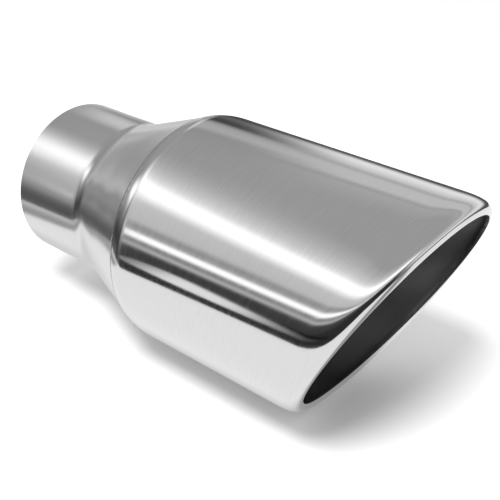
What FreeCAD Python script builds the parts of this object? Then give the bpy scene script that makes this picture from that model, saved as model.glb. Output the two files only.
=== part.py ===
"""Slip-on exhaust tip in polished stainless sheet: a straight inlet neck that flares out, a weld
bead, and a larger shell whose slant-cut outlet has its edge turned inward.

The axis of the tip is +X, from the inlet to the outlet, and +Z is up. The origin is the centre of
the inlet's open end. All sizes are in millimetres and degrees.
"""
import FreeCAD, Part
import os
import Sketcher
from FreeCAD import Placement, Rotation, Vector

doc = FreeCAD.newDocument("exhaust_tip")


# Driving sizes, each with what it measures

DRIVING = [
    ("pipe_od", 63.5, "outside of the tailpipe that the inlet slips over, 2.5 in"),
    ("slip_gap", 0.15, "gap between that pipe and the inlet's bore, all round"),
    ("wall", 1.2, "thickness of the sheet"),
    ("neck_run", 33.2, "straight length of the inlet neck"),
    ("bend_radius", 20.0, "hollow bend where the neck starts to flare, on its outside"),
    ("flare_angle", 20.0, "angle of the flare to the axis"),
    ("lip_step", 0.8, "how far the flare's end lies below the shell's rear edge"),
    ("bead_width", 1.6, "width of the weld bead between flare and shell"),
    ("bead_crown", 0.15, "height of the bead's crown over the edges that it joins"),
    ("shell_od", 93.5, "outside diameter of the shell"),
    ("shoulder_run", 6.0, "length of the shell's rounded rear shoulder"),
    ("shoulder_radius", 20.0, "radius of that shoulder, outside"),
    ("shell_run", 89.4, "from the shell's rear edge to the outlet's slant plane, on the axis"),
    ("slant", 27.0, "angle of the outlet to a square cut, long side on top"),
    ("edge_radius", 4.2, "outside radius of the edge that is turned inward"),
    ("edge_turn", 12.0, "how far past the outlet's face that edge turns"),
    ("edge_lap", 12.0, "how far its root laps back into the wall, at the top"),
    ("cut_margin", 8.0, "how far the outline of the slant cut passes the shell"),
]

sheet = doc.addObject("Spreadsheet::Sheet", "sizes")
for row, (alias, number, meaning) in enumerate(DRIVING, start=1):
    sheet.set(f"A{row}", alias)
    sheet.set(f"B{row}", str(number))
    sheet.set(f"C{row}", meaning)
    sheet.setAlias(f"B{row}", alias)


# Sizes that follow from them, each bound to the sheet. A name in braces stands for the formula
# that the list gives for it higher up.

FOLLOWING = [
    ("neck_radius", "sizes.pipe_od / 2 + sizes.slip_gap + sizes.wall"),
    ("bend_radius_inside", "sizes.bend_radius + sizes.wall"),
    ("shell_radius", "sizes.shell_od / 2"),
    ("shoulder_radius_inside", "sizes.shoulder_radius - sizes.wall"),
    ("shoulder_centre", "{shell_radius} - sizes.shoulder_radius"),
    ("shell_rear_radius",
     "{shoulder_centre} + sqrt(sizes.shoulder_radius ^ 2 - sizes.shoulder_run ^ 2)"),
    ("shell_rear_bore",
     "{shoulder_centre} + sqrt({shoulder_radius_inside} ^ 2 - sizes.shoulder_run ^ 2)"),
    ("flare_end_radius", "{shell_rear_radius} - sizes.lip_step"),
    ("flare_end_bore", "{flare_end_radius} - sizes.wall / cos(sizes.flare_angle)"),
    ("flare_end",
     "sizes.neck_run + sizes.bend_radius * tan(sizes.flare_angle / 2)"
     " + ({flare_end_radius} - {neck_radius}) / tan(sizes.flare_angle)"),
    ("shell_start", "{flare_end} + sizes.bead_width"),
    ("shoulder_end", "{shell_start} + sizes.shoulder_run"),
    ("crown_radius",
     "((sizes.bead_width ^ 2 + sizes.lip_step ^ 2) / 4 + sizes.bead_crown ^ 2)"
     " / (2 * sizes.bead_crown)"),
    ("rim_station", "{shell_start} + sizes.shell_run"),
    ("edge_radius_inside", "sizes.edge_radius - sizes.wall"),
    ("edge_height", "{shell_radius} - sizes.edge_radius"),
    ("edge_length", "2 * {edge_height} / cos(sizes.slant)"),
    ("edge_width", "2 * {edge_height}"),
    ("edge_top", "{rim_station} + {edge_height} * tan(sizes.slant)"),
    ("edge_end", "-sizes.edge_turn - sizes.slant"),
    ("edge_start", "90 + sizes.edge_lap"),
    ("root_side_angle", "{edge_start} - 180"),
    ("edge_middle", "({edge_start} + {edge_end}) / 2"),
    ("edge_middle_station", "{edge_top} + sizes.edge_radius * cos({edge_middle})"),
    ("cut_reach", "{shell_radius} + sizes.cut_margin"),
    ("cut_rise", "{cut_reach} * tan(sizes.slant) * {edge_height} / {shell_radius}"),
    ("cut_top", "{rim_station} + {cut_rise}"),
    ("cut_bottom", "{rim_station} - {cut_rise}"),
    ("tube_end", "{rim_station} + {cut_rise}"),
    ("cut_end", "{tube_end} + sizes.cut_margin"),
]

following = doc.addObject("App::VarSet", "following")
formulas = {}
for name, formula in FOLLOWING:
    formulas[name] = "(" + formula.format(**formulas) + ")"
    following.addProperty("App::PropertyFloat", name, "Sizes")
    following.setExpression(name, formulas[name])
doc.recompute()


# Helpers for sketches

ORIGIN = (-1, 1)
VERTICAL_AXIS = -2
START, END, CENTRE = 1, 2, 3


def number(size):
    """What a size, named as in "sizes.wall", comes to now."""
    owner, name = size.split(".")
    return float(sheet.get(name)) if owner == "sizes" else getattr(following, name)


def flat(along, up):
    """A point of a sketch from two numbers."""
    return Vector(along, up, 0)


def line(start, end):
    return Part.LineSegment(start, end)


def arc(start, middle, end):
    """An arc through three points, the first two in anticlockwise order."""
    return Part.Arc(start, middle, end)


def new_body(label):
    """An empty body with the node's name."""
    body = doc.addObject("PartDesign::Body", label)
    body.Label = label
    return body


def new_sketch(body, role, name):
    """A sketch flat on one of the body's own origin planes."""
    plane = next(item for item in body.Origin.OriginFeatures if item.Role == role)
    sketch = body.newObject("Sketcher::SketchObject", name)
    sketch.AttachmentSupport = (plane, [""])
    sketch.MapMode = "FlatFace"
    return sketch


def tie(sketch, kind, *items):
    """Add a constraint that has no number."""
    sketch.addConstraint(Sketcher.Constraint(kind, *items))


def measure(sketch, kind, items, size):
    """Add a dimension and bind it to a size."""
    now = FreeCAD.Units.Quantity(number(size), FreeCAD.Units.Angle if kind == "Angle" else
                                 FreeCAD.Units.Length)
    index = sketch.addConstraint(Sketcher.Constraint(kind, *items, now))
    sketch.renameConstraint(index, f"size_{index}")
    sketch.setExpression(f"Constraints.size_{index}", size)


def place(sketch, geometry, end, along=None, up=None):
    """Bind where one end of a line or arc lies, along the axis and up from it."""
    if along is not None:
        measure(sketch, "DistanceX", (*ORIGIN, geometry, end), along)
    if up is not None:
        measure(sketch, "DistanceY", (*ORIGIN, geometry, end), up)


def revolve(body, sketch, name):
    """Turn a profile all the way round the tip's axis."""
    feature = body.newObject("PartDesign::Revolution", name)
    feature.Profile = sketch
    feature.ReferenceAxis = (sketch, ["H_Axis"])
    feature.Angle = 360
    sketch.Visibility = False


# Inlet neck: a straight tube that bends outward into a cone, turned from the profile of its wall

def make_inlet_neck():
    body = new_body("inlet_neck")
    sketch = new_sketch(body, "XZ_Plane", "neck_profile")
    outside = number("following.neck_radius")
    inside = outside - number("sizes.wall")
    run, end = number("sizes.neck_run"), number("following.flare_end")
    end_outside, end_inside = number("following.flare_end_radius"), number("following.flare_end_bore")
    bend = Vector(0.4, 0.08, 0) * number("sizes.bend_radius")
    outer_bend_end, inner_bend_end = flat(run, outside) + bend, flat(run, inside) + bend
    sag = Vector(0, -0.2 * bend.y, 0)
    outer, outer_bend, outer_flare, lip, inner_flare, inner_bend, inner, mouth = sketch.addGeometry([
        line(flat(0, outside), flat(run, outside)),
        arc(flat(run, outside), flat(run, outside) + bend / 2 + sag, outer_bend_end),
        line(outer_bend_end, flat(end, end_outside)),
        line(flat(end, end_outside), flat(end, end_inside)),
        line(flat(end, end_inside), inner_bend_end),
        arc(flat(run, inside), flat(run, inside) + bend / 2 + sag, inner_bend_end),
        line(flat(run, inside), flat(0, inside)),
        line(flat(0, inside), flat(0, outside)),
    ], False)
    tie(sketch, "Tangent", outer, END, outer_bend, START)
    tie(sketch, "Tangent", outer_bend, END, outer_flare, START)
    tie(sketch, "Coincident", outer_flare, END, lip, START)
    tie(sketch, "Coincident", lip, END, inner_flare, START)
    tie(sketch, "Tangent", inner_flare, END, inner_bend, END)
    tie(sketch, "Tangent", inner_bend, START, inner, START)
    tie(sketch, "Coincident", inner, END, mouth, START)
    tie(sketch, "Coincident", mouth, END, outer, START)
    tie(sketch, "Coincident", inner_bend, CENTRE, outer_bend, CENTRE)
    tie(sketch, "Horizontal", outer)
    tie(sketch, "Horizontal", inner)
    tie(sketch, "Vertical", lip)
    tie(sketch, "Vertical", mouth)
    tie(sketch, "Parallel", inner_flare, outer_flare)
    tie(sketch, "PointOnObject", outer, START, VERTICAL_AXIS)
    place(sketch, outer, START, up="following.neck_radius")
    place(sketch, outer, END, along="sizes.neck_run")
    place(sketch, lip, START, up="following.flare_end_radius")
    measure(sketch, "Radius", (outer_bend,), "sizes.bend_radius")
    measure(sketch, "Radius", (inner_bend,), "following.bend_radius_inside")
    measure(sketch, "Angle", (outer_flare,), "sizes.flare_angle")
    revolve(body, sketch, "neck_wall")
    return body


# Weld bead: a low ring between the flare and the shell, crowned outside and straight inside

def make_seam_weld():
    body = new_body("seam_weld")
    sketch = new_sketch(body, "XZ_Plane", "bead_profile")
    front, back = number("following.flare_end"), number("following.shell_start")
    front_top, front_bottom = number("following.flare_end_radius"), number("following.flare_end_bore")
    back_top, back_bottom = number("following.shell_rear_radius"), number("following.shell_rear_bore")
    crown_top = flat((front + back) / 2, (front_top + back_top) / 2 + number("sizes.bead_crown"))
    crown, front_side, root, back_side = sketch.addGeometry([
        arc(flat(back, back_top), crown_top, flat(front, front_top)),
        line(flat(front, front_top), flat(front, front_bottom)),
        line(flat(front, front_bottom), flat(back, back_bottom)),
        line(flat(back, back_bottom), flat(back, back_top)),
    ], False)
    tie(sketch, "Coincident", crown, END, front_side, START)
    tie(sketch, "Coincident", front_side, END, root, START)
    tie(sketch, "Coincident", root, END, back_side, START)
    tie(sketch, "Coincident", back_side, END, crown, START)
    tie(sketch, "Vertical", front_side)
    tie(sketch, "Vertical", back_side)
    place(sketch, front_side, START, "following.flare_end", "following.flare_end_radius")
    place(sketch, front_side, END, up="following.flare_end_bore")
    place(sketch, back_side, START, "following.shell_start", "following.shell_rear_bore")
    place(sketch, back_side, END, up="following.shell_rear_radius")
    measure(sketch, "Radius", (crown,), "following.crown_radius")
    revolve(body, sketch, "bead")
    return body


# Outer shell: a turned wall with a rounded rear shoulder, cut off on the slant, and an edge turned
# inward that is swept round the slanted ellipse of its own centre line

def make_outer_shell():
    body = new_body("outer_shell")
    turn_shell_wall(body)
    cut_slant(body)
    turn_edge_inward(body)
    return body


def turn_shell_wall(body):
    sketch = new_sketch(body, "XZ_Plane", "shell_profile")
    start, shoulder, end = (number("following." + name)
                            for name in ("shell_start", "shoulder_end", "tube_end"))
    outside = number("following.shell_radius")
    inside = outside - number("sizes.wall")
    rear_outside, rear_inside = (number("following." + name)
                                 for name in ("shell_rear_radius", "shell_rear_bore"))
    halfway = (start + shoulder) / 2
    outer_middle, inner_middle = (flat(halfway, rear + 0.8 * (full - rear)) for rear, full in
                                  ((rear_outside, outside), (rear_inside, inside)))
    outer_bend, outer, rim, inner, inner_bend, rear = sketch.addGeometry([
        arc(flat(shoulder, outside), outer_middle, flat(start, rear_outside)),
        line(flat(shoulder, outside), flat(end, outside)),
        line(flat(end, outside), flat(end, inside)),
        line(flat(end, inside), flat(shoulder, inside)),
        arc(flat(shoulder, inside), inner_middle, flat(start, rear_inside)),
        line(flat(start, rear_inside), flat(start, rear_outside)),
    ], False)
    tie(sketch, "Tangent", outer_bend, START, outer, START)
    tie(sketch, "Coincident", outer, END, rim, START)
    tie(sketch, "Coincident", rim, END, inner, START)
    tie(sketch, "Tangent", inner, END, inner_bend, START)
    tie(sketch, "Coincident", inner_bend, END, rear, START)
    tie(sketch, "Coincident", rear, END, outer_bend, END)
    tie(sketch, "Coincident", inner_bend, CENTRE, outer_bend, CENTRE)
    tie(sketch, "Horizontal", outer)
    tie(sketch, "Horizontal", inner)
    tie(sketch, "Vertical", rim)
    tie(sketch, "Vertical", rear)
    place(sketch, outer, START, "following.shoulder_end", "following.shell_radius")
    place(sketch, outer, END, "following.tube_end")
    place(sketch, rear, END, "following.shell_start")
    measure(sketch, "Radius", (outer_bend,), "sizes.shoulder_radius")
    measure(sketch, "Radius", (inner_bend,), "following.shoulder_radius_inside")
    revolve(body, sketch, "shell_wall")


def cut_slant(body):
    sketch = new_sketch(body, "XZ_Plane", "slant_outline")
    reach, end = number("following.cut_reach"), number("following.cut_end")
    top, bottom = number("following.cut_top"), number("following.cut_bottom")
    slant_side, top_side, far_side, bottom_side = sketch.addGeometry([
        line(flat(bottom, -reach), flat(top, reach)),
        line(flat(top, reach), flat(end, reach)),
        line(flat(end, reach), flat(end, -reach)),
        line(flat(end, -reach), flat(bottom, -reach)),
    ], False)
    tie(sketch, "Coincident", slant_side, END, top_side, START)
    tie(sketch, "Coincident", top_side, END, far_side, START)
    tie(sketch, "Coincident", far_side, END, bottom_side, START)
    tie(sketch, "Coincident", bottom_side, END, slant_side, START)
    tie(sketch, "Horizontal", top_side)
    tie(sketch, "Vertical", far_side)
    tie(sketch, "Horizontal", bottom_side)
    place(sketch, slant_side, END, "following.cut_top", "following.cut_reach")
    place(sketch, slant_side, START, "following.cut_bottom")
    measure(sketch, "DistanceY", (slant_side, START, *ORIGIN), "following.cut_reach")
    place(sketch, far_side, START, "following.cut_end")
    doc.recompute()
    whole = body.Tip.Shape.Volume
    cut = body.newObject("PartDesign::Pocket", "slant_cut")
    cut.Profile = sketch
    cut.Type = "ThroughAll"
    cut.SideType = "Symmetric"
    sketch.Visibility = False
    doc.recompute()
    if not 0.5 * whole < cut.Shape.Volume < whole:
        raise RuntimeError("the slant cut took the wrong side off the shell")


def turn_edge_inward(body):
    spine = new_sketch(body, "YZ_Plane", "edge_path")
    spine.AttachmentOffset = Placement(Vector(0, 0, number("following.rim_station")),
                                       Rotation(Vector(1, 0, 0), number("sizes.slant")))
    spine.setExpression("AttachmentOffset.Base.z", "following.rim_station")
    spine.setExpression("AttachmentOffset.Rotation.Angle", "sizes.slant")
    long_half, short_half = number("following.edge_length") / 2, number("following.edge_width") / 2
    ellipse = spine.addGeometry(
        Part.Ellipse(flat(0, long_half), flat(short_half, 0), flat(0, 0)), False)
    spine.exposeInternalGeometry(ellipse)
    long_axis, short_axis = ellipse + 1, ellipse + 2
    tie(spine, "Coincident", ellipse, CENTRE, *ORIGIN)
    tie(spine, "Vertical", long_axis)
    measure(spine, "Distance", (long_axis, START, long_axis, END), "following.edge_length")
    measure(spine, "Distance", (short_axis, START, short_axis, END), "following.edge_width")

    section = draw_edge_section(body)
    doc.recompute()
    edge = body.newObject("PartDesign::AdditivePipe", "turned_edge")
    edge.Profile = section
    edge.Spine = (spine, ["Edge1"])
    edge.Mode = "Frenet"
    section.Visibility = False
    spine.Visibility = False


def draw_edge_section(body):
    """The section of the turned edge at the top of the outlet: a round of two arcs outside, and
    three flats inside, where nothing shows."""
    section = new_sketch(body, "XZ_Plane", "edge_section")
    centre = flat(number("following.edge_top"), number("following.edge_height"))
    outside, inside = "sizes.edge_radius", "following.edge_radius_inside"
    end, start = number("following.edge_end"), number("following.edge_start")

    def on_round(radius, share):
        """A point on a round of that radius, a share of the way from the edge's end to its root."""
        degrees = end + share * (start - end)
        return centre + Rotation(Vector(0, 0, 1), degrees).multVec(flat(number(radius), 0))

    front_round, root_round, root_side, root_flat, corner_flat, end_flat, end_side, bore = (
        section.addGeometry([
            arc(*(on_round(outside, share) for share in (0, 1 / 4, 1 / 2))),
            arc(*(on_round(outside, share) for share in (1 / 2, 3 / 4, 1))),
            line(on_round(outside, 1), on_round(inside, 1)),
            line(on_round(inside, 1), on_round(inside, 2 / 3)),
            line(on_round(inside, 2 / 3), on_round(inside, 1 / 3)),
            line(on_round(inside, 1 / 3), on_round(inside, 0)),
            line(on_round(inside, 0), on_round(outside, 0)),
            Part.Circle(centre, Vector(0, 0, 1), number(inside)),
        ], False))
    section.setConstruction(bore, True)
    tie(section, "Coincident", front_round, END, root_round, START)
    tie(section, "Coincident", front_round, CENTRE, root_round, CENTRE)
    tie(section, "Coincident", front_round, CENTRE, bore, CENTRE)
    tie(section, "Coincident", root_round, END, root_side, START)
    tie(section, "Coincident", root_side, END, root_flat, START)
    tie(section, "Coincident", root_flat, END, corner_flat, START)
    tie(section, "Coincident", corner_flat, END, end_flat, START)
    tie(section, "Coincident", end_flat, END, end_side, START)
    tie(section, "Coincident", end_side, END, front_round, START)
    for flat_side in (root_flat, corner_flat, end_flat):
        tie(section, "PointOnObject", flat_side, START, bore)
    tie(section, "PointOnObject", end_side, START, bore)
    tie(section, "Equal", root_flat, corner_flat)
    tie(section, "Equal", corner_flat, end_flat)
    tie(section, "PointOnObject", bore, CENTRE, root_side)
    tie(section, "PointOnObject", bore, CENTRE, end_side)
    place(section, bore, CENTRE, "following.edge_top", "following.edge_height")
    place(section, front_round, END, along="following.edge_middle_station")
    measure(section, "Radius", (front_round,), outside)
    measure(section, "Radius", (bore,), inside)
    measure(section, "Angle", (end_side,), "following.edge_end")
    measure(section, "Angle", (root_side,), "following.root_side_angle")
    return section


# Build, check and write every node

bodies = [make_inlet_neck(), make_seam_weld(), make_outer_shell()]
doc.recompute()

for item in doc.Objects:
    if "Invalid" in item.State or "Error" in item.State:
        raise RuntimeError(f"{item.Label} failed: {item.State}")
for body in bodies:
    shape = body.Shape
    if shape.isNull() or not shape.isValid() or len(shape.Solids) != 1:
        raise RuntimeError(f"{body.Label} isn't one sound solid")

os.makedirs("parts", exist_ok=True)
for body in bodies:
    body.Shape.exportStep(f"parts/{body.Label}.step")
    box = body.Shape.BoundBox
    print(f"{body.Label}: {body.Shape.Volume:.0f} mm3, x {box.XMin:.2f} to {box.XMax:.2f}, "
          f"z {box.ZMin:.2f} to {box.ZMax:.2f}")
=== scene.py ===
# %% [markdown]
# # A polished exhaust tip
#
# The real part is three pieces of stainless steel. A short tube slips over the tailpipe and
# flares out. A low weld bead joins the flare to a larger shell. The shell is cut off on a slant
# at the outlet, and its edge is turned inward. Each piece is made here as a smooth mesh of the
# same sizes as its CAD solid, and gets a finish of its own.

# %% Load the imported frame
import math

import bpy
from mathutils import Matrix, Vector


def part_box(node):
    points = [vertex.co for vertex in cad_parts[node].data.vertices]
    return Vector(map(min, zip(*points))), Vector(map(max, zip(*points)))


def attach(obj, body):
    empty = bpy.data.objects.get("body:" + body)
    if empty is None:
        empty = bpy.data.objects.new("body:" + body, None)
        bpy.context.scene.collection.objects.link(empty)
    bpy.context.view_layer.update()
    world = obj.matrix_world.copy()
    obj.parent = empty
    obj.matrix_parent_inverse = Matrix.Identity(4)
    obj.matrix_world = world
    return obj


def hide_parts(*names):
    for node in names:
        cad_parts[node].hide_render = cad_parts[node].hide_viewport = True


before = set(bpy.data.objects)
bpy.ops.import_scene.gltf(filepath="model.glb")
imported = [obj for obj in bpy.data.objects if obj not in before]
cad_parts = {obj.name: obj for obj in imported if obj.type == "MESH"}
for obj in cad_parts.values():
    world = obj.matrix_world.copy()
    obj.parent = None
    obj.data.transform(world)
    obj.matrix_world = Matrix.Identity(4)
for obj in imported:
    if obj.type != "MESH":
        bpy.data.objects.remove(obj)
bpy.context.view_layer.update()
print("nodes:", sorted(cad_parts))

# %% [markdown]
# ## Sizes
#
# The lesson repeats the sizes of the part in millimetres, because a mirror finish needs a finer
# surface than the frame's mesh has. A number is written once, under the name that a maker would
# use, and all others follow from it.

# %% Sizes of the sheet parts, in millimetres and degrees
MM = 0.001
WALL = 1.2
NECK_RADIUS = 33.1
NECK_RUN = 33.2
BEND_RADIUS = 20.0
FLARE_ANGLE = math.radians(20.0)
LIP_STEP = 0.8
BEAD_WIDTH = 1.6
BEAD_CROWN = 0.15
SHELL_RADIUS = 46.75
SHOULDER_RUN = 6.0
SHOULDER_RADIUS = 20.0
SHELL_RUN = 89.4
SLANT = math.tan(math.radians(27.0))
EDGE_RADIUS = 4.2
EDGE_TURN = math.radians(12.0)
print("shell", 2 * SHELL_RADIUS, "mm and neck", 2 * NECK_RADIUS, "mm across")

# %% Stations along the axis that follow from them
shoulder_centre = SHELL_RADIUS - SHOULDER_RADIUS
shell_rear = shoulder_centre + math.sqrt(SHOULDER_RADIUS**2 - SHOULDER_RUN**2)
shell_rear_bore = shoulder_centre + math.sqrt((SHOULDER_RADIUS - WALL) ** 2 - SHOULDER_RUN**2)
flare_top = shell_rear - LIP_STEP
flare_bore = flare_top - WALL / math.cos(FLARE_ANGLE)
flare_end = (NECK_RUN + BEND_RADIUS * math.tan(FLARE_ANGLE / 2)
             + (flare_top - NECK_RADIUS) / math.tan(FLARE_ANGLE))
shell_start = flare_end + BEAD_WIDTH
shoulder_end = shell_start + SHOULDER_RUN
rim_station = shell_start + SHELL_RUN
edge_height = SHELL_RADIUS - EDGE_RADIUS
print(f"flare ends at {flare_end:.2f}, shell starts at {shell_start:.2f}, "
      f"slant plane at {rim_station:.2f}")

# %% [markdown]
# ## A sheet as one grid of points
#
# Every piece is a closed strip of sheet that runs once round the axis. A spin of a profile would
# do for the neck, but not for the slanted edge, so one helper makes them all: for each angle it
# asks for the loop of points round the sheet's section there, and joins neighbouring loops with
# quads. The UV map keeps the angle in U and the distance along the section in V, so that
# polishing lines can follow the way that the sheet was turned.

# %% A helper that makes a ring of sheet
AROUND = 384


def ring_of_sheet(name, loop_at, cuts, inside_from, materials):
    """loop_at(angle) gives the section's points. The faces from point inside_from on get the second
    material. A cut is a face of the section between two crisp edges, and gets the third one."""
    loops = [loop_at(2 * math.pi * step / AROUND) for step in range(AROUND)]
    across = len(loops[0])
    mesh = bpy.data.meshes.new(name)
    faces = []
    for step in range(AROUND):
        here, there = step * across, (step + 1) % AROUND * across
        for point in range(across):
            beyond = (point + 1) % across
            faces.append((here + point, here + beyond, there + beyond, there + point))
    mesh.from_pydata([point * MM for loop in loops for point in loop], [], faces)
    lengths = [0.0]
    for first, second in zip(loops[0], loops[0][1:] + loops[0][:1]):
        lengths.append(lengths[-1] + (second - first).length * MM)
    uv = mesh.uv_layers.new(name="turning")
    for face in mesh.polygons:
        step, point = divmod(face.index, across)
        spots = ((step, point), (step, point + 1), (step + 1, point + 1), (step + 1, point))
        for loop, (turn, place) in zip(face.loop_indices, spots):
            uv.data[loop].uv = (turn / AROUND, lengths[place])
        face.material_index = 2 if point in cuts else int(inside_from <= point)
    mesh.polygons.foreach_set("use_smooth", [True] * len(mesh.polygons))
    crisp = {point % across for cut in cuts for point in (cut, cut + 1)}
    crisp_edges = mesh.attributes.new("sharp_edge", "BOOLEAN", "EDGE")
    for edge in mesh.edges:
        first, second = edge.vertices
        if first % across == second % across and first % across in crisp:
            crisp_edges.data[edge.index].value = True
    for material in materials:
        mesh.materials.append(material)
    mesh.update()
    piece = bpy.data.objects.new(name, mesh)
    bpy.context.scene.collection.objects.link(piece)
    print(f"{name}: {len(mesh.vertices)} points, {2 * len(mesh.polygons)} triangles")
    return piece


def spun(profile):
    """The section's points at an angle, for a profile of (along, radius) pairs."""
    return lambda angle: [Vector((along, radius * math.cos(angle), radius * math.sin(angle)))
                          for along, radius in profile]


def arc(centre, radius, start, end, steps):
    """Points on an arc of a profile, angles in radians from the axis direction."""
    return [(centre[0] + radius * math.cos(start + (end - start) * step / steps),
             centre[1] + radius * math.sin(start + (end - start) * step / steps))
            for step in range(steps + 1)]


def run(start, end, steps):
    """Points on a straight stretch of a profile, without its two ends."""
    return [(start[0] + (end[0] - start[0]) * step / steps,
             start[1] + (end[1] - start[1]) * step / steps) for step in range(1, steps)]


print(AROUND, "angles, on the shell", round(2 * math.pi * SHELL_RADIUS / AROUND, 2), "mm apart")

# %% [markdown]
# ## Polishing lines
#
# A tip is polished on a spindle, so its finest scratches run round it. They can't be seen one by
# one, but they draw soft streaks through the highlights. One node group makes them from noise
# that is squeezed along the section and stretched round it. It gives a height for a Bump node, a
# roughness that varies between two bounds and a faint tint, and each finish sets how many lines
# it has.

# %% The group and its sockets
def add(tree, kind, **settings):
    """A new node with its settings."""
    node = tree.nodes.new(kind)
    for name, value in settings.items():
        setattr(node, name, value)
    return node


def feed(tree, socket, source):
    """Link a socket to a source socket, or set it to a number."""
    if isinstance(source, bpy.types.NodeSocket):
        tree.links.new(source, socket)
    else:
        socket.default_value = source


lines = bpy.data.node_groups.new("polishing_lines", "ShaderNodeTree")
for socket in ("Lines", "Drift", "Low", "High"):
    lines.interface.new_socket(socket, in_out="INPUT", socket_type="NodeSocketFloat")
for socket, kind in (("Height", "NodeSocketFloat"), ("Roughness", "NodeSocketFloat"),
                     ("Tint", "NodeSocketColor")):
    lines.interface.new_socket(socket, in_out="OUTPUT", socket_type=kind)
given = add(lines, "NodeGroupInput")
made = add(lines, "NodeGroupOutput")
print("the group takes", [socket.name for socket in given.outputs if socket.name],
      "and gives", [socket.name for socket in made.inputs if socket.name])

# %% The place that the noise is read at, squeezed along the section and stretched round it
def math_node(tree, operation, first, second=0.0):
    """What a Math node makes of two numbers or sockets."""
    node = add(tree, "ShaderNodeMath", operation=operation)
    feed(tree, node.inputs[0], first)
    feed(tree, node.inputs[1], second)
    return node.outputs[0]


turning = add(lines, "ShaderNodeUVMap", uv_map="turning")
on_sheet = add(lines, "ShaderNodeSeparateXYZ")
feed(lines, on_sheet.inputs[0], turning.outputs["UV"])
turn = math_node(lines, "MULTIPLY", on_sheet.outputs["X"], 2 * math.pi)
stretched = add(lines, "ShaderNodeCombineXYZ")
feed(lines, stretched.inputs["X"],
     math_node(lines, "MULTIPLY", on_sheet.outputs["Y"], given.outputs["Lines"]))
for axis, curve in (("Y", "COSINE"), ("Z", "SINE")):
    feed(lines, stretched.inputs[axis],
         math_node(lines, "MULTIPLY", math_node(lines, curve, turn), given.outputs["Drift"]))
print("place made of", len(lines.nodes) - 2, "nodes")

# %% The noise, and what the group gives out
FINE_DETAIL = 3.0
FINE_ROUGHNESS = 0.65
FINE_SHARE = 0.7
CLOUDS_PER_METRE = 34.0
CLOUD_DETAIL = 2.0
FINE_RANGE = (0.3, 0.7)
BOTH_RANGE = (0.35, 0.65)
DARKEST_TINT = 0.94


def between(tree, value, low, high, at_low, at_high, way="SMOOTHSTEP"):
    """A value that goes from at_low to at_high while the other goes from low to high."""
    ease = add(tree, "ShaderNodeMapRange", interpolation_type=way)
    for socket, source in zip(("Value", "From Min", "From Max", "To Min", "To Max"),
                              (value, low, high, at_low, at_high)):
        feed(tree, ease.inputs[socket], source)
    return ease.outputs[0]


def noise(tree, place, scale, detail, roughness=0.5):
    """Noise at a place, with about scale spots to each unit of it."""
    node = add(tree, "ShaderNodeTexNoise")
    for socket, source in (("Vector", place), ("Scale", scale), ("Detail", detail),
                           ("Roughness", roughness)):
        feed(tree, node.inputs[socket], source)
    return node.outputs["Fac"]


fine = noise(lines, stretched.outputs[0], 1.0, FINE_DETAIL, FINE_ROUGHNESS)
cloud = noise(lines, add(lines, "ShaderNodeTexCoord").outputs["Object"], CLOUDS_PER_METRE,
              CLOUD_DETAIL)
both = math_node(lines, "ADD", math_node(lines, "MULTIPLY", fine, FINE_SHARE),
                 math_node(lines, "MULTIPLY", cloud, 1 - FINE_SHARE))
feed(lines, made.inputs["Height"], fine)
feed(lines, made.inputs["Roughness"],
     between(lines, both, *BOTH_RANGE, given.outputs["Low"], given.outputs["High"], "LINEAR"))
feed(lines, made.inputs["Tint"], between(lines, fine, *FINE_RANGE, DARKEST_TINT, 1.0, "LINEAR"))
print("group:", lines.name, "with", len(lines.nodes), "nodes")

# %% [markdown]
# ## Finishes
#
# Polished stainless is a bare metal: all its colour is in its reflections, so the Principled
# shader has Metallic at 1 and a pale grey base. The outside of the shell is buffed to a mirror.
# The neck is polished a little less. Its flare was spun out by hand, so its reflections waver,
# and a second, slow bump under the lines gives that. The weld bead was ground and buffed. Nobody
# polishes the inside, which stays dull. Its base is also painted darker, as painted shade for the
# inside of the tube. Its scratches spread each highlight along the axis, which is what the
# shader's Anisotropic value does. The cut edges keep the marks of the belt that dressed them. The
# finishes differ in the numbers that they give to the group.

# %% The two kinds of bump
WAVES_PER_METRE = 70.0
SPUN_FROM = 34 * MM
SPUN_FULLY_FROM = 44 * MM


def bump(tree, height, depth, under=None):
    """The normal that a Bump node makes, depth in millimetres, on top of another normal."""
    node = add(tree, "ShaderNodeBump")
    feed(tree, node.inputs["Strength"], 1.0)
    feed(tree, node.inputs["Distance"], depth * MM)
    feed(tree, node.inputs["Height"], height)
    if under is not None:
        feed(tree, node.inputs["Normal"], under)
    return node.outputs[0]


def waver_normal(tree, depth):
    """The normal of the flare's slow unevenness, which leaves the straight tube smooth."""
    place = add(tree, "ShaderNodeTexCoord").outputs["Object"]
    parts = add(tree, "ShaderNodeSeparateXYZ")
    feed(tree, parts.inputs[0], place)
    spun_share = between(tree, parts.outputs["X"], SPUN_FROM, SPUN_FULLY_FROM, 0.0, 1.0)
    waves = noise(tree, place, WAVES_PER_METRE, 0.0)
    return bump(tree, math_node(tree, "MULTIPLY", waves, spun_share), depth)


print("the waver grows from", round(SPUN_FROM / MM), "to", round(SPUN_FULLY_FROM / MM), "mm")

# %% A helper for steel, and the mirror finish of the shell
QUARTER_TURN = 0.25


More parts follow.
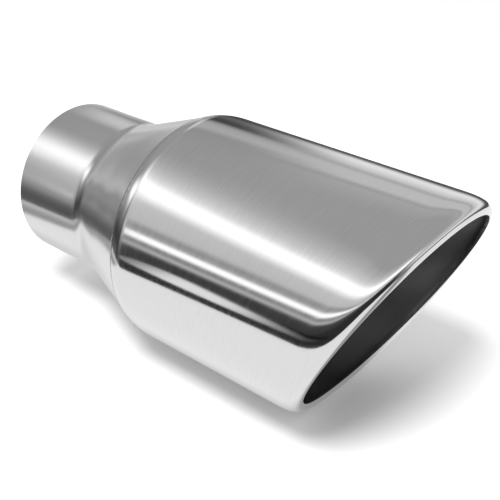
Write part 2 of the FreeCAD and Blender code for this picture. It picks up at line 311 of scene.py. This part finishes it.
def steel(name, colour, low, high, lines_per_metre, drift, depth, brushed=0.0, waver=0.0):
    """Bare stainless steel: low and high bound the roughness. Depth is the height of the lines and
    waver that of the flare's unevenness, in millimetres. The brushed share spreads the highlights
    along the axis, square to the lines."""
    material = bpy.data.materials.new(name)
    material.use_nodes = True
    tree = material.node_tree
    shader = tree.nodes["Principled BSDF"]
    shader.inputs["Metallic"].default_value = 1.0
    group = add(tree, "ShaderNodeGroup", node_tree=lines)
    for socket, value in (("Lines", lines_per_metre), ("Drift", drift), ("Low", low),
                          ("High", high)):
        feed(tree, group.inputs[socket], value)
    tinted = add(tree, "ShaderNodeMix", data_type="RGBA", blend_type="MULTIPLY")
    feed(tree, tinted.inputs["Factor"], 1.0)
    feed(tree, tinted.inputs[6], (*colour, 1.0))
    feed(tree, tinted.inputs[7], group.outputs["Tint"])
    feed(tree, shader.inputs["Base Color"], tinted.outputs[2])
    feed(tree, shader.inputs["Roughness"], group.outputs["Roughness"])
    under = waver_normal(tree, waver) if waver else None
    feed(tree, shader.inputs["Normal"], bump(tree, group.outputs["Height"], depth, under))
    if brushed:
        round_the_tip = add(tree, "ShaderNodeTangent", direction_type="UV_MAP", uv_map="turning")
        feed(tree, shader.inputs["Tangent"], round_the_tip.outputs[0])
        shader.inputs["Anisotropic"].default_value = brushed
        shader.inputs["Anisotropic Rotation"].default_value = QUARTER_TURN
    print("finish:", name)
    return material


mirror_polish = steel("mirror_polish", (0.75, 0.75, 0.755), low=0.06, high=0.12,
                      lines_per_metre=2200.0, drift=5.0, depth=0.0004)

# %% The other four finishes
neck_polish = steel("neck_polish", (0.74, 0.74, 0.745), low=0.11, high=0.18,
                    lines_per_metre=2200.0, drift=5.0, depth=0.0006, waver=0.32)
bead_polish = steel("bead_polish", (0.5, 0.5, 0.505), low=0.18, high=0.3,
                    lines_per_metre=1200.0, drift=40.0, depth=0.002)
cut_edge = steel("cut_edge", (0.8, 0.8, 0.805), low=0.2, high=0.3,
                 lines_per_metre=3000.0, drift=8.0, depth=0.002)
# The inside is dull for real, and its darker base is painted shade for the inside of the tube.
dull_inside_painted_shade = steel("dull_inside_painted_shade", (0.38, 0.38, 0.38), low=0.3, high=0.37,
                    lines_per_metre=1500.0, drift=4.0, depth=0.0006, brushed=0.95)

# %% [markdown]
# ## The inlet neck
#
# On the real tip the neck is a piece of tube whose end was spun out into a cone. Its section is
# the outer line, a hollow bend, the flare and its cut end, and the same line back on the inside,
# one sheet thickness further in. A spun bend has no sharp start, so its curvature grows towards
# the middle and fades again. It begins a little before the CAD's plain arc, and stays within a
# quarter of a millimetre of it. The open end was cut and brushed, so its edges are crisp.

# %% Section of the neck
BEND_SPREAD = 12.5
BEND_STEPS = 20
NECK_STEPS = 8
FLARE_STEPS = 6


def soft_bend():
    """Points of the outer line through the bend, each with the line's slope there."""
    slopes = []
    for step in range(BEND_STEPS + 1):
        share = step / BEND_STEPS
        slopes.append(FLARE_ANGLE * (share - math.sin(2 * math.pi * share) / (2 * math.pi)))
    points = [(0.0, 0.0)]
    for before, after in zip(slopes, slopes[1:]):
        slope = (before + after) / 2
        along, radius = points[-1]
        points.append((along + BEND_SPREAD / BEND_STEPS * math.cos(slope),
                       radius + BEND_SPREAD / BEND_STEPS * math.sin(slope)))
    corner_along = points[-1][0] - points[-1][1] / math.tan(FLARE_ANGLE)
    start = NECK_RUN + BEND_RADIUS * math.tan(FLARE_ANGLE / 2) - corner_along
    return [(start + along, NECK_RADIUS + radius, slope)
            for (along, radius), slope in zip(points, slopes)]


bend = soft_bend()
outer_bend = [(along, radius) for along, radius, slope in bend]
inner_bend = [(along + WALL * math.sin(slope), radius - WALL * math.cos(slope))
              for along, radius, slope in reversed(bend)]
mouth, mouth_bore = (0.0, NECK_RADIUS), (0.0, NECK_RADIUS - WALL)
flare_edge, flare_bore_edge = (flare_end, flare_top), (flare_end, flare_bore)
neck_outside = ([mouth] + run(mouth, outer_bend[0], NECK_STEPS) + outer_bend
                + run(outer_bend[-1], flare_edge, FLARE_STEPS) + [flare_edge])
neck_inside = ([flare_bore_edge] + run(flare_bore_edge, inner_bend[0], FLARE_STEPS)
               + inner_bend + run(inner_bend[-1], mouth_bore, NECK_STEPS) + [mouth_bore])
neck = ring_of_sheet("inlet_neck_sheet", spun(neck_outside + neck_inside),
                     cuts=[len(neck_outside) - 1, len(neck_outside) + len(neck_inside) - 1],
                     inside_from=len(neck_outside), materials=[neck_polish, dull_inside_painted_shade, cut_edge])

# %% [markdown]
# ## The weld bead
#
# The bead is a low crown between the flare and the shell. A smooth ring would look like a
# gasket, so its crown is pushed up and down a little as it goes round, as the ripples of a weld
# that was buffed nearly flat.

# %% Section of the bead, with its ripples
RIPPLES = 96
RIPPLE_HEIGHT = 0.04
BEAD_STEPS = 10


def bead_arc(start, end, bulge, steps):
    """Points of a shallow curve from start to end that bulges by a given height."""
    points = []
    for step in range(steps + 1):
        share = step / steps
        lift = bulge * 4 * share * (1 - share)
        points.append((start[0] + (end[0] - start[0]) * share,
                       start[1] + (end[1] - start[1]) * share + lift))
    return points


def bead_loop(angle):
    """The bead's section at an angle: its crown, and the two corners of its root."""
    ripple = RIPPLE_HEIGHT * math.cos(RIPPLES * angle)
    crown = bead_arc(flare_edge, (shell_start, shell_rear), BEAD_CROWN + ripple, BEAD_STEPS)
    root = [(shell_start, shell_rear_bore), flare_bore_edge]
    return spun(crown + root)(angle)


bead = ring_of_sheet("seam_weld_bead", bead_loop, cuts=[BEAD_STEPS, BEAD_STEPS + 2],
                     inside_from=BEAD_STEPS + 1, materials=[bead_polish, dull_inside_painted_shade, cut_edge])

# %% [markdown]
# ## The outer shell and its turned edge
#
# This is the piece that takes most skill. The outlet is cut on a slant, and the edge is turned
# inward all the way round, so the turn follows a slanted ellipse. At each angle it is part of a
# circle whose plane stands square to that ellipse. Sheet that is turned over a die doesn't bend
# at once, so the wall begins to lean in a few millimetres before that circle. The curve from the
# wall to the edge's end is drawn with four control points at each angle, and the reflections
# flow over it with no break. A bevel or a boolean can't give that.

# %% The curve of the turned edge at an angle
LEAN_RUN = 6.0
LEAN_HANDLE = 3.0
END_HANDLE = 3.6
EDGE_STEPS = 32


def edge_curve(angle, radius):
    """Points from the wall to the end of the edge, for a sheet face at that radius of the turn."""
    outward = Vector((0, math.cos(angle), math.sin(angle)))
    centre = outward * edge_height
    centre.x = rim_station + SLANT * centre.z
    ahead = Vector((SLANT * math.cos(angle), -math.sin(angle), math.cos(angle))).normalized()
    facing = outward.cross(ahead)
    share = radius / EDGE_RADIUS
    along = Vector((1, 0, 0))
    on_wall = centre + radius * outward
    end = centre + radius * (math.cos(EDGE_TURN) * facing - math.sin(EDGE_TURN) * outward)
    end_way = -math.sin(EDGE_TURN) * facing - math.cos(EDGE_TURN) * outward
    controls = (on_wall - LEAN_RUN * along, on_wall + LEAN_HANDLE * share * along,
                end - END_HANDLE * share * end_way, end)
    points = []
    for step in range(EDGE_STEPS + 1):
        far = step / EDGE_STEPS
        near = 1 - far
        weights = (near**3, 3 * near**2 * far, 3 * near * far**2, far**3)
        points.append(sum((weight * point for weight, point in zip(weights, controls)), Vector()))
    return points


top_edge = edge_curve(math.pi / 2, EDGE_RADIUS)
print("on top the wall leans in from", [round(value, 2) for value in top_edge[0]],
      "and ends at", [round(value, 2) for value in top_edge[-1]])

# %% Section of the shell at an angle
WALL_STEPS = 16
SHOULDER_STEPS = 10

rear_angle = math.atan2(shell_rear - shoulder_centre, -SHOULDER_RUN)
outer_shoulder = arc((shoulder_end, shoulder_centre), SHOULDER_RADIUS, rear_angle, math.pi / 2,
                     SHOULDER_STEPS)
inner_rear_angle = math.atan2(shell_rear_bore - shoulder_centre, -SHOULDER_RUN)
inner_shoulder = arc((shoulder_end, shoulder_centre), SHOULDER_RADIUS - WALL, math.pi / 2,
                     inner_rear_angle, SHOULDER_STEPS)


def shell_loop(angle):
    """The shell's section at an angle: shoulder, wall and edge outside, and back on the inside."""
    outside = edge_curve(angle, EDGE_RADIUS)
    inside = edge_curve(angle, EDGE_RADIUS - WALL)[::-1]
    start = spun(outer_shoulder)(angle)
    end = spun(inner_shoulder)(angle)
    out_run = [start[-1].lerp(outside[0], step / WALL_STEPS) for step in range(1, WALL_STEPS)]
    back_run = [inside[-1].lerp(end[0], step / WALL_STEPS) for step in range(1, WALL_STEPS)]
    return start + out_run + outside + inside + back_run + end


rim_index = SHOULDER_STEPS + WALL_STEPS + EDGE_STEPS
shell = ring_of_sheet("outer_shell_sheet", shell_loop,
                      cuts=[rim_index, len(shell_loop(0.0)) - 1], inside_from=rim_index + 1,
                      materials=[mirror_polish, dull_inside_painted_shade, cut_edge])

# %% [markdown]
# ## Placing the pieces
#
# The row has no joints, so everything rides on one body. Each mesh stands for the CAD solid whose
# sizes it has, and that solid is hidden.

# %% Ride on the body and stand for the CAD nodes
for piece, node, slot in ((neck, "inlet_neck", "neck_polished"),
                          (bead, "seam_weld", "weld_polished"),
                          (shell, "outer_shell", "shell_polished")):
    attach(piece, "root")
    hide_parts(node)
    low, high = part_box(node)
    print(node, [round(value / MM, 2) for value in (*low, *high)])

# %% [markdown]
# ## The studio
#
# A mirror shows its room, so the room is part of the finish. The tip lies on a white sheet of
# paper, which ends a hand's breadth in front of it, and the dark table behind that edge is the
# black band along its side. Higher up the room turns from grey to a soft white light. The
# camera and the shadows see a plain white floor instead, so the floor is made twice: a wide one
# for the camera, and the sheet that only reflections see.

# %% A helper for flat pieces, and the wide floor
FLOOR = -SHELL_RADIUS * MM
WIDE = 4000
PAPER_WHITE = 0.93
PAPER_ROUGHNESS = 0.9


def flat_piece(name, outline, material):
    """A piece of the studio that lies on the floor, with its outline in millimetres."""
    mesh = bpy.data.meshes.new(name)
    mesh.from_pydata([(x * MM, y * MM, FLOOR) for x, y in outline], [],
                     [tuple(range(len(outline)))])
    mesh.materials.append(material)
    piece = bpy.data.objects.new(name, mesh)
    bpy.context.scene.collection.objects.link(piece)
    return piece


white_paper = bpy.data.materials.new("white_paper")
white_paper.use_nodes = True
paper_shader = white_paper.node_tree.nodes["Principled BSDF"]
paper_shader.inputs["Base Color"].default_value = (PAPER_WHITE, PAPER_WHITE, PAPER_WHITE, 1.0)
paper_shader.inputs["Roughness"].default_value = PAPER_ROUGHNESS
paper_shader.inputs["Specular IOR Level"].default_value = 0.0
wide_floor = flat_piece("studio_floor",
                        [(-WIDE, -WIDE), (WIDE, -WIDE), (WIDE, WIDE), (-WIDE, WIDE)], white_paper)
wide_floor.visible_glossy = False
print("floor at", round(FLOOR / MM, 1), "mm")

# %% [markdown]
# The sheet's glow has a painted shadow: it is darker where the tip's own shadow would lie on it,
# close to the line on which the shell rests. A dark band is also painted across its corner beyond
# the inlet, which shows as a grey line along the neck. The light card lies on the table in front
# of the sheet. It is brightest in the middle and fades to its ends and with distance. Both glow by
# themselves, because the lamp's light on them would change what the steel mirrors whenever the
# lamp moved.

# %% A glowing material, for what only the reflections see
def glowing(name):
    """A material that glows in itself. The colour of the glow is left to be linked, and the
    object's coordinates are given back for that."""
    material = bpy.data.materials.new(name)
    material.use_nodes = True
    tree = material.node_tree
    shader = tree.nodes["Principled BSDF"]
    shader.inputs["Base Color"].default_value = (0.0, 0.0, 0.0, 1.0)
    shader.inputs["Specular IOR Level"].default_value = 0.0
    shader.inputs["Emission Strength"].default_value = 1.0
    parts = add(tree, "ShaderNodeSeparateXYZ")
    feed(tree, parts.inputs[0], add(tree, "ShaderNodeTexCoord").outputs["Object"])
    return material, shader.inputs["Emission Color"], parts.outputs


lit_paper, glow, place = glowing("lit_paper")
print("glowing:", lit_paper.name)

# %% The sheet of paper in the reflections
def over(tree, place, start, end, at_start, at_end):
    """Brightness that eases from one value to another over a stretch in millimetres."""
    return between(tree, place, start * MM, end * MM, at_start, at_end)


def sheared(tree, first, second, share):
    """One coordinate plus a share of the other, so that an edge runs aslant over the floor."""
    return math_node(tree, "ADD", first, math_node(tree, "MULTIPLY", second, share))


tree = lit_paper.node_tree
# Painted shadow: the glow is darker close to the line on which the shell rests, most under the
# shell.
darkest = over(tree, place["X"], 15, 75, 0.72, 0.36)
shadow = over(tree, math_node(tree, "ABSOLUTE", place["Y"]), 14, 42, darkest, 1.0)
# A dark band painted across the sheet's corner beyond the inlet, which shows as a grey line along
# the neck.
across_edge_band = sheared(tree, place["Y"], place["X"], 0.55)
painted_edge_band = math_node(tree, "SUBTRACT", 1.0,
                 math_node(tree, "ADD", over(tree, across_edge_band, -98, -80, 0.38, 1.0),
                           over(tree, across_edge_band, -142, -108, 0.3, 0.0)))
painted_edge_band = math_node(tree, "MULTIPLY", painted_edge_band, over(tree, place["X"], -36, -16, 1.0, 0.0))
feed(tree, glow, math_node(tree, "MULTIPLY", math_node(tree, "SUBTRACT", 1.0, painted_edge_band), shadow))
sheet = flat_piece("paper_sheet",
                   [(-102, -30), (-106, -80), (-100, -98), (-80, -111), (-66, -122), (-42, -128),
                    (-6, -130), (20, -147), (78, -180), (180, -215), (420, -260), (520, 300),
                    (110, 300), (92, 70), (-100, 70)], lit_paper)
print("paper sheet:", len(lit_paper.node_tree.nodes), "nodes")

# %% The light card in the reflections
lit_card, glow, place = glowing("lit_card")
tree = lit_card.node_tree
right_fade = over(tree, sheared(tree, place["X"], place["Y"], -0.53), 101, 181, 1.0, 0.1)
left_fade = over(tree, sheared(tree, place["X"], place["Y"], -0.6), 48, 96, 0.3, 1.0)
far_fade = over(tree, place["Y"], -356, -280, 0.08, 1.0)
feed(tree, glow, math_node(tree, "MULTIPLY", math_node(tree, "MULTIPLY", right_fade, left_fade),
                           far_fade))
light_card = flat_piece("light_card",
                        [(-74, -176), (-40, -180), (-22, -183), (-7, -190), (8, -203), (18, -218),
                         (32, -245), (60, -285), (120, -340), (120, -430), (-112, -430),
                         (-112, -300), (-102, -262), (-84, -218)], lit_card)
for reflected_only in (sheet, light_card):
    reflected_only.visible_camera = False
    reflected_only.visible_diffuse = False
    reflected_only.visible_shadow = False
print("light card:", len(lit_card.node_tree.nodes), "nodes")

# %% [markdown]
# ## The room
#
# The rest of what the steel mirrors is a room with walls of different greys. Each wall is a ramp
# over the height of the direction in degrees, and the walls blend into each other by the sides of
# that direction. The front wall has a dark table edge, a thin bright line over it and a wide soft
# light further up. Its lines rise a little to the right, as they do in the photograph, so the
# ramp's height is sheared there, by LEAN degrees for a whole unit of the direction, and higher up
# this fades out. A dark post stands where the front meets the left. Only glossy rays see the
# room, and all others an even grey.

# %% The direction that a reflection looks in, and its height in degrees
LEAN = -25.0
LEAN_SHIFT = 0.5
LEAN_FADE = (12.0, 28.0)

world = bpy.data.worlds.new("studio")
bpy.context.scene.world = world
world.use_nodes = True
room = world.node_tree
room.nodes.clear()
toward = add(room, "ShaderNodeSeparateXYZ")
feed(room, toward.inputs[0], add(room, "ShaderNodeTexCoord").outputs["Generated"])
degrees_up = math_node(room, "MULTIPLY", math_node(room, "ARCSINE", toward.outputs["Z"]),
                       180 / math.pi)
lean = math_node(room, "MULTIPLY", math_node(room, "ADD", toward.outputs["X"], LEAN_SHIFT), LEAN)
lean_share = between(room, degrees_up, *LEAN_FADE, 1.0, 0.0)
leaning_up = math_node(room, "ADD", degrees_up, math_node(room, "MULTIPLY", lean, lean_share))
print("directions made of", len(room.nodes), "nodes")

# %% The walls in front, from right to left
def wall(height, stops):
    """A wall's ramp from (degrees up, grey) pairs."""
    ramp = add(room, "ShaderNodeValToRGB")
    feed(room, ramp.inputs[0],
         math_node(room, "ADD", math_node(room, "MULTIPLY", height, 1 / 180), 0.5))
    elements = ramp.color_ramp.elements
    while len(elements) < len(stops):
        elements.new(0.5)
    for element, (degrees, grey) in zip(elements, stops):
        element.position = degrees / 180 + 0.5
        element.color = (grey, grey, grey, 1.0)
    return ramp.outputs[0]


front = wall(leaning_up, [
    (-90, 0.03), (-9, 0.03), (-8, 0.05), (-0.4, 0.06), (1.0, 0.35), (2.2, 0.66), (4.0, 0.3),
    (6.2, 0.26), (8.2, 1.5), (10.4, 1.5), (12.2, 0.44), (15.8, 0.34), (19, 0.66), (27, 0.7),
    (34, 1.6), (37.5, 1.6), (41.5, 0.95), (44.5, 0.76), (50, 0.58), (58, 0.42), (90, 0.42)])
front_left = wall(degrees_up, [
    (-90, 0.5), (-31, 0.5), (-27, 0.32), (-21, 0.14), (-14, 0.12), (-9, 0.17), (-3, 0.36),
    (6, 0.62), (14, 0.58), (23, 0.72), (30, 1.2), (34, 1.5), (38, 1.5), (41, 1.2), (45, 0.85),
    (52, 0.5), (90, 0.42)])
left_post = wall(degrees_up, [
    (-90, 0.06), (0, 0.06), (6, 0.16), (16, 0.24), (22, 0.5), (26, 1.2), (34, 1.2), (38, 0.6),
    (90, 0.42)])
left_front = wall(degrees_up, [
    (-90, 0.1), (-26, 0.3), (-18, 0.16), (-9, 0.06), (-4, 0.06), (2, 0.16), (7, 0.26), (12, 0.42),
    (16, 0.8), (20, 1.6), (25, 1.6), (29, 0.8), (33, 0.7), (37, 0.45), (90, 0.42)])
print("ramps:", [node.name for node in room.nodes if node.type == "VALTORGB"])

# %% The walls behind, from left to right
left_back = wall(degrees_up, [
    (-90, 0.3), (-22, 0.26), (-15, 0.1), (-11, 0.2), (-8, 0.38), (-5, 0.28), (-1, 0.38), (2, 0.3),
    (4.5, 0.62), (6.5, 0.62), (9, 0.46), (12, 0.4), (22, 0.34), (30, 0.4), (90, 0.42)])
back_left = wall(degrees_up, [
    (-90, 0.2), (-28, 0.35), (-18, 0.8), (-8, 0.62), (-1, 0.75), (3, 0.6), (7, 0.42), (10, 0.38),
    (16, 0.36), (24, 0.4), (36, 0.38), (54, 0.42), (90, 0.42)])
back_neck = wall(degrees_up, [
    (-90, 0.2), (-28, 0.35), (-18, 0.8), (-8, 0.6), (-4, 0.52), (2, 0.36), (6, 0.34), (10, 0.55),
    (14, 0.67), (21, 0.78), (27, 0.76), (31, 0.6), (34, 0.38), (41, 0.43), (54, 0.42), (90, 0.42)])
back_dark = wall(degrees_up, [
    (-90, 0.05), (-12, 0.1), (-6, 0.06), (0, 0.14), (5, 0.13), (9, 0.08), (15, 0.06), (18, 0.3),
    (21, 0.46), (28, 0.52), (33, 0.36), (38, 0.38), (54, 0.42), (90, 0.42)])
back_right = wall(degrees_up, [
    (-90, 0.05), (-8, 0.1), (-4, 0.45), (0, 0.9), (5, 0.95), (11, 0.82), (16, 0.7), (19, 0.52),
    (21, 0.5), (24, 0.64), (34.5, 0.66), (38.5, 0.42), (41, 0.5), (54, 0.42), (90, 0.42)])
print("ramps:", [node.name for node in room.nodes if node.type == "VALTORGB"])

# %% The corners, and which rays see the room
EVEN_GREY = 0.82


def join_walls(axis, low, high, low_wall, high_wall):
    """Two walls that blend while one part of the direction goes from low to high."""
    blend = add(room, "ShaderNodeMix", data_type="RGBA")
    feed(room, blend.inputs["Factor"], between(room, toward.outputs[axis], low, high, 0.0, 1.0))
    feed(room, blend.inputs[6], low_wall)
    feed(room, blend.inputs[7], high_wall)
    return blend.outputs[2]


whole_front = join_walls("X", -0.73, -0.66, front_left, front)
post_and_front = join_walls("X", -0.79, -0.765, left_post, whole_front)
whole_left = join_walls("Y", -0.34, -0.1, left_front, left_back)
front_side = join_walls("X", -0.835, -0.805, whole_left, post_and_front)
left_and_neck = join_walls("X", -0.74, -0.72, back_left, back_neck)
back_deep = join_walls("X", -0.7, -0.66, left_and_neck, back_dark)
back = join_walls("X", -0.625, -0.5, back_deep, back_right)
back_side = join_walls("X", -0.9, -0.82, whole_left, back)
round_room = join_walls("Y", -0.4, 0.1, front_side, back_side)
seen = add(room, "ShaderNodeMix", data_type="RGBA")
feed(room, seen.inputs["Factor"], add(room, "ShaderNodeLightPath").outputs["Is Glossy Ray"])
feed(room, seen.inputs[6], (EVEN_GREY, EVEN_GREY, EVEN_GREY, 1.0))
feed(room, seen.inputs[7], round_room)
background = add(room, "ShaderNodeBackground")
feed(room, background.inputs["Color"], seen.outputs[2])
feed(room, add(room, "ShaderNodeOutputWorld").inputs["Surface"], background.outputs[0])
print("room made of", len(room.nodes), "nodes")

# %% [markdown]
# A round softbox hangs high in front of the tip, beyond its outlet. It draws the soft shadow,
# which falls to the back and a little towards the inlet. The steel doesn't mirror it, because
# the room holds every light that the steel shows.

# %% The lamp that draws the soft shadows
LAMP_PLACE = Vector((0.24, -0.38, 0.76))
LAMP_AIM = Vector((0.09, 0, FLOOR))
LAMP_WIDTH = 0.3
LAMP_WATTS = 7.0

lamp_data = bpy.data.lights.new("overhead_softbox", "AREA")
lamp_data.shape = "DISK"
lamp_data.size = LAMP_WIDTH
lamp_data.energy = LAMP_WATTS
lamp = bpy.data.objects.new("overhead_softbox", lamp_data)
lamp.location = LAMP_PLACE
lamp.rotation_mode = "QUATERNION"
lamp.rotation_quaternion = (LAMP_PLACE - LAMP_AIM).to_track_quat("Z", "Y")
lamp.visible_glossy = False
lamp.visible_camera = False
bpy.context.scene.collection.objects.link(lamp)
print("lamp", round((LAMP_PLACE - LAMP_AIM).length, 2), "m from the tip")

# %% [markdown]
# ## The camera
#
# The camera stands in front of the outlet's corner and looks down at the tip by thirty degrees,
# through a short telephoto lens. Its numbers were fitted to the outlines in the photograph. The
# target is a point on the line of sight, beyond the tip.

# %% The camera at the photograph's angle, lengths in millimetres
BEARING = math.radians(41.12)
RISE = math.radians(29.83)
TARGET = Vector((15.6, 95.2, -72.4))
DISTANCE = 499.9
LENS = 66.62
SENSOR = 36.0

camera_data = bpy.data.cameras.new("camera")
camera_data.lens = LENS
camera_data.sensor_width = SENSOR
camera = bpy.data.objects.new("camera", camera_data)
back_along = Vector((math.sin(BEARING) * math.cos(RISE), -math.cos(BEARING) * math.cos(RISE),
                     math.sin(RISE)))
camera.location = TARGET * MM + back_along * DISTANCE * MM
camera.rotation_mode = "QUATERNION"
camera.rotation_quaternion = (-back_along).to_track_quat("-Z", "Y")
bpy.context.scene.collection.objects.link(camera)
bpy.context.scene.camera = camera
bpy.context.scene.view_settings.view_transform = "Standard"
print("camera at", [round(value, 4) for value in camera.location])
